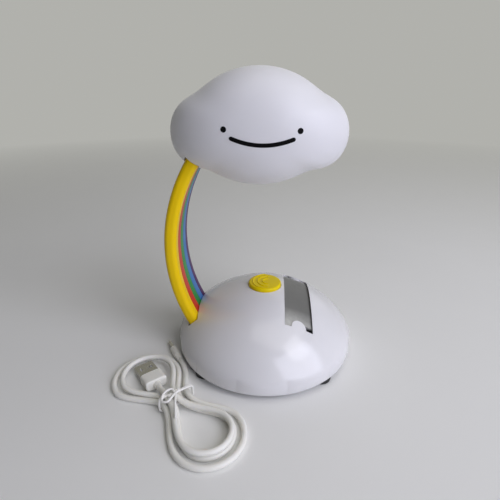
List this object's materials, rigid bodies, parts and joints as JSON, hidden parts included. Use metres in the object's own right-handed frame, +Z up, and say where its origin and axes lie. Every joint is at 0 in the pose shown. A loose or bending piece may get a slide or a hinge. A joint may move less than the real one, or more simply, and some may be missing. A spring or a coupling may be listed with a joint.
{
  "type": "LED projector lamp",
  "caption": "Small cloud-shaped LED lamp on a white dome base with a rainbow ribbon arm, a push button, a mirror projector groove and a loose USB cable.",
  "frame": {"origin": "on the table under the middle of the base", "axes": "+Z up, the face looks along -Y and the arm stands at -X"},
  "size_m": [0.1521, 0.1639, 0.1782],
  "materials": {
    "white_gloss": "gloss",
    "white_matte": "satin",
    "black_rubber": "matte",
    "screw_steel": "satin",
    "yellow_plastic": "gloss",
    "red_plastic": "gloss",
    "green_plastic": "gloss",
    "blue_plastic": "gloss",
    "purple_plastic": "gloss",
    "black_plastic": "satin",
    "board_green": "satin",
    "nickel": "polished",
    "mirror_strip": "polished",
    "led_lens": "clear",
    "cable_white": "satin"
  },
  "bodies": {
    "base": {"base_shell": "white_gloss", "base_plate": "white_matte", "rubber_feet": "black_rubber", "base_screws": "screw_steel", "switch_body": "black_plastic", "main_pcb": "board_green", "pcb_screws": "screw_steel", "dc_socket": "black_plastic", "dc_socket_pin": "nickel", "reflector_strip": "mirror_strip", "projector_cradle": "black_plastic", "projector_led_boards": "board_green", "projector_leds": "led_lens", "arm_band_yellow": "yellow_plastic", "arm_band_red": "red_plastic", "arm_band_green": "green_plastic", "arm_band_blue": "blue_plastic", "arm_band_purple": "purple_plastic", "arm_clamp": "black_plastic", "clamp_screws": "screw_steel", "light_lead": "black_plastic", "head_front_shell": "white_gloss", "head_rear_shell": "white_gloss", "head_bracket": "white_matte", "head_led_board": "white_matte", "head_leds": "led_lens", "head_screws": "screw_steel", "cord_hank": "cable_white", "cord_lead_dc": "cable_white", "cord_lead_usb": "cable_white", "cord_tie": "white_matte", "dc_plug_body": "cable_white", "dc_plug_barrel": "nickel", "usb_plug_body": "cable_white", "usb_plug_shell": "nickel", "usb_plug_tongue": "white_matte"},
    "button": {"power_button": "yellow_plastic", "switch_plunger": "black_plastic"}
  },
  "joints": [
    {"name": "button_press", "type": "slide", "parent": "base", "child": "button", "axis": [0, 0, -1], "range_m": [0, 0.0015], "stiffness_N_per_m": 400}
  ]
}
